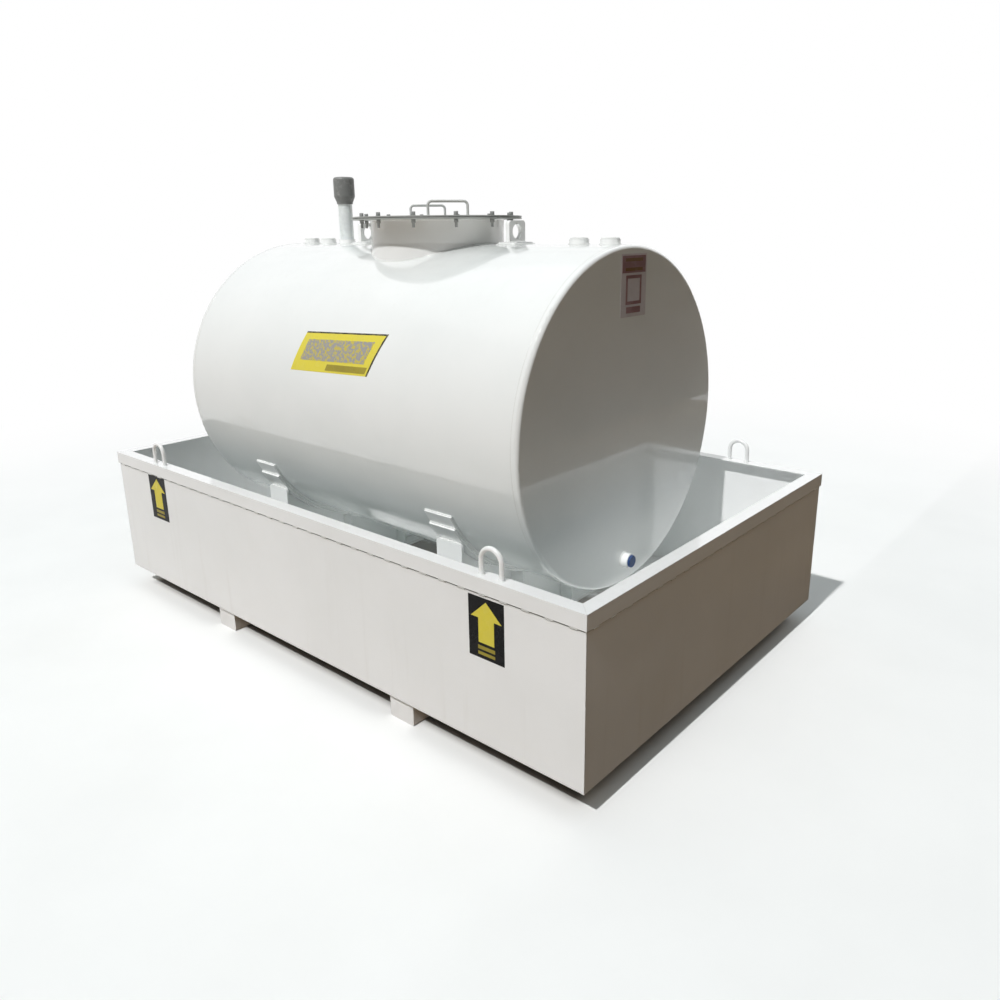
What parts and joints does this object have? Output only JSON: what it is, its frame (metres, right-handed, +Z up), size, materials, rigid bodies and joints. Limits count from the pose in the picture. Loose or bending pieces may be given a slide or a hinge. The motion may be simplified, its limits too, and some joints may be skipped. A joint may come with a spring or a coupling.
{
  "type": "above-ground fuel tank",
  "caption": "Horizontal fuel tank on saddles in an open rectangular bund tray, with a bolted manhole, a capped vent pipe, plugged sockets, an outlet and lifting lugs.",
  "frame": {"origin": "on the ground under the middle of the bund tray", "axes": "+X along the tank towards the end with the outlet, +Y to the far side of the tray, +Z up"},
  "size_m": [2.64, 1.635, 1.833],
  "materials": {
    "white_paint": "gloss",
    "grey_paint": "satin",
    "dark_paint": "satin",
    "pipe_zinc": "satin",
    "gasket_rubber": "matte",
    "blue_plastic": "gloss"
  },
  "bodies": {
    "root": {"cover_handle_back": "grey_paint", "cover_handle_front": "grey_paint", "lug_left": "white_paint", "lug_pad_left": "white_paint", "lug_pad_right": "white_paint", "lug_right": "white_paint", "manhole_cover": "grey_paint", "manhole_flange": "grey_paint", "manhole_gasket": "gasket_rubber", "manhole_neck": "white_paint", "outlet_plug": "blue_plastic", "outlet_socket": "white_paint", "rim_eye_far_left": "white_paint", "rim_eye_far_right": "white_paint", "rim_eye_near_left": "white_paint", "rim_eye_near_right": "white_paint", "rim_far": "white_paint", "rim_left": "white_paint", "rim_near": "white_paint", "rim_right": "white_paint", "saddle_base_left": "white_paint", "saddle_base_right": "white_paint", "saddle_flange_left": "white_paint", "saddle_flange_right": "white_paint", "saddle_ribs_left": "white_paint", "saddle_ribs_right": "white_paint", "saddle_web_left": "white_paint", "saddle_web_right": "white_paint", "skid_left": "white_paint", "skid_right": "white_paint", "tank_end_left": "white_paint", "tank_end_right": "white_paint", "tank_shell": "white_paint", "top_plugs_left": "white_paint", "top_plugs_right": "white_paint", "top_sockets_left": "white_paint", "top_sockets_right": "white_paint", "tray_floor": "white_paint", "tray_wall_far": "white_paint", "tray_wall_left": "white_paint", "tray_wall_near": "white_paint", "tray_wall_right": "white_paint", "vent_cap": "dark_paint", "vent_pipe": "pipe_zinc", "vent_socket": "white_paint", "wear_plate_left": "white_paint", "wear_plate_right": "white_paint"}
  },
  "joints": []
}
